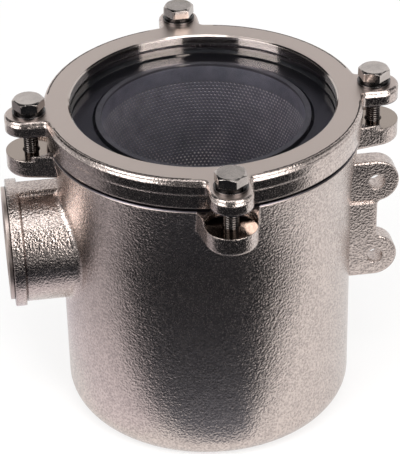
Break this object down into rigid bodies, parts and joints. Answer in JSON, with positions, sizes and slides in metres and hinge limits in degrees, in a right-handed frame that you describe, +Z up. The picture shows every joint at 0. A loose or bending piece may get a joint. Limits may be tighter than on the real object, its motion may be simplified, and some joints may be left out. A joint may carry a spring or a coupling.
{
  "type": "sea water strainer",
  "caption": "Cast bowl strainer with a bolted clear lid, lift-out perforated basket, threaded pipe ports and a side bracket.",
  "frame": {"origin": "centre of the underside of the bowl", "axes": "+Z up along the bowl's axis, -X out of the inlet, +Y out of the outlet, bracket on the +X side, front lid bolt on the -Y side"},
  "size_m": [0.244, 0.2426, 0.2149],
  "materials": {
    "cast_nickel": "satin",
    "stainless": "satin",
    "clear_lid": "gloss",
    "rubber": "matte"
  },
  "bodies": {
    "bowl": {"strainer_body": "cast_nickel", "body_seal": "rubber", "basket_wall": "stainless", "basket_floor": "stainless", "basket_rim": "stainless", "basket_foot_band": "stainless"},
    "lid": {"lid_ring": "cast_nickel", "lid_glass": "clear_lid", "glass_gasket": "rubber"},
    "washers_front": {"spring_washer_front": "stainless", "flat_washer_front": "stainless"},
    "bolt_front": {"lid_bolt_front": "stainless"},
    "washers_right": {"spring_washer_right": "stainless", "flat_washer_right": "stainless"},
    "bolt_right": {"lid_bolt_right": "stainless"},
    "washers_back": {"spring_washer_back": "stainless", "flat_washer_back": "stainless"},
    "bolt_back": {"lid_bolt_back": "stainless"},
    "washers_left": {"spring_washer_left": "stainless", "flat_washer_left": "stainless"},
    "bolt_left": {"lid_bolt_left": "stainless"}
  },
  "joints": [
    {"name": "lid_lift", "type": "slide", "parent": "bowl", "child": "lid", "axis": [0, 0, 1], "range_m": [0, 0.12]},
    {"name": "bolt_front_rise", "type": "slide", "parent": "lid", "child": "washers_front", "axis": [0, 0, 1], "range_m": [0, 0.012]},
    {"name": "bolt_front_turn", "type": "hinge", "parent": "washers_front", "child": "bolt_front", "pos_m": [0, -0.1038, 0.2085], "axis": [0, 0, 1], "range_deg": [0, 2881]},
    {"name": "bolt_right_rise", "type": "slide", "parent": "lid", "child": "washers_right", "axis": [0, 0, 1], "range_m": [0, 0.012]},
    {"name": "bolt_right_turn", "type": "hinge", "parent": "washers_right", "child": "bolt_right", "pos_m": [0.1038, 0, 0.2085], "axis": [0, 0, 1], "range_deg": [0, 2881]},
    {"name": "bolt_back_rise", "type": "slide", "parent": "lid", "child": "washers_back", "axis": [0, 0, 1], "range_m": [0, 0.012]},
    {"name": "bolt_back_turn", "type": "hinge", "parent": "washers_back", "child": "bolt_back", "pos_m": [0, 0.1038, 0.2085], "axis": [0, 0, 1], "range_deg": [0, 2881]},
    {"name": "bolt_left_rise", "type": "slide", "parent": "lid", "child": "washers_left", "axis": [0, 0, 1], "range_m": [0, 0.012]},
    {"name": "bolt_left_turn", "type": "hinge", "parent": "washers_left", "child": "bolt_left", "pos_m": [-0.1038, 0, 0.2085], "axis": [0, 0, 1], "range_deg": [0, 2881]}
  ],
  "couplings": [
    {"joint": "bolt_front_turn", "follows": "bolt_front_rise", "rad_per_m": 4188.8},
    {"joint": "bolt_right_turn", "follows": "bolt_right_rise", "rad_per_m": 4188.8},
    {"joint": "bolt_back_turn", "follows": "bolt_back_rise", "rad_per_m": 4188.8},
    {"joint": "bolt_left_turn", "follows": "bolt_left_rise", "rad_per_m": 4188.8}
  ]
}
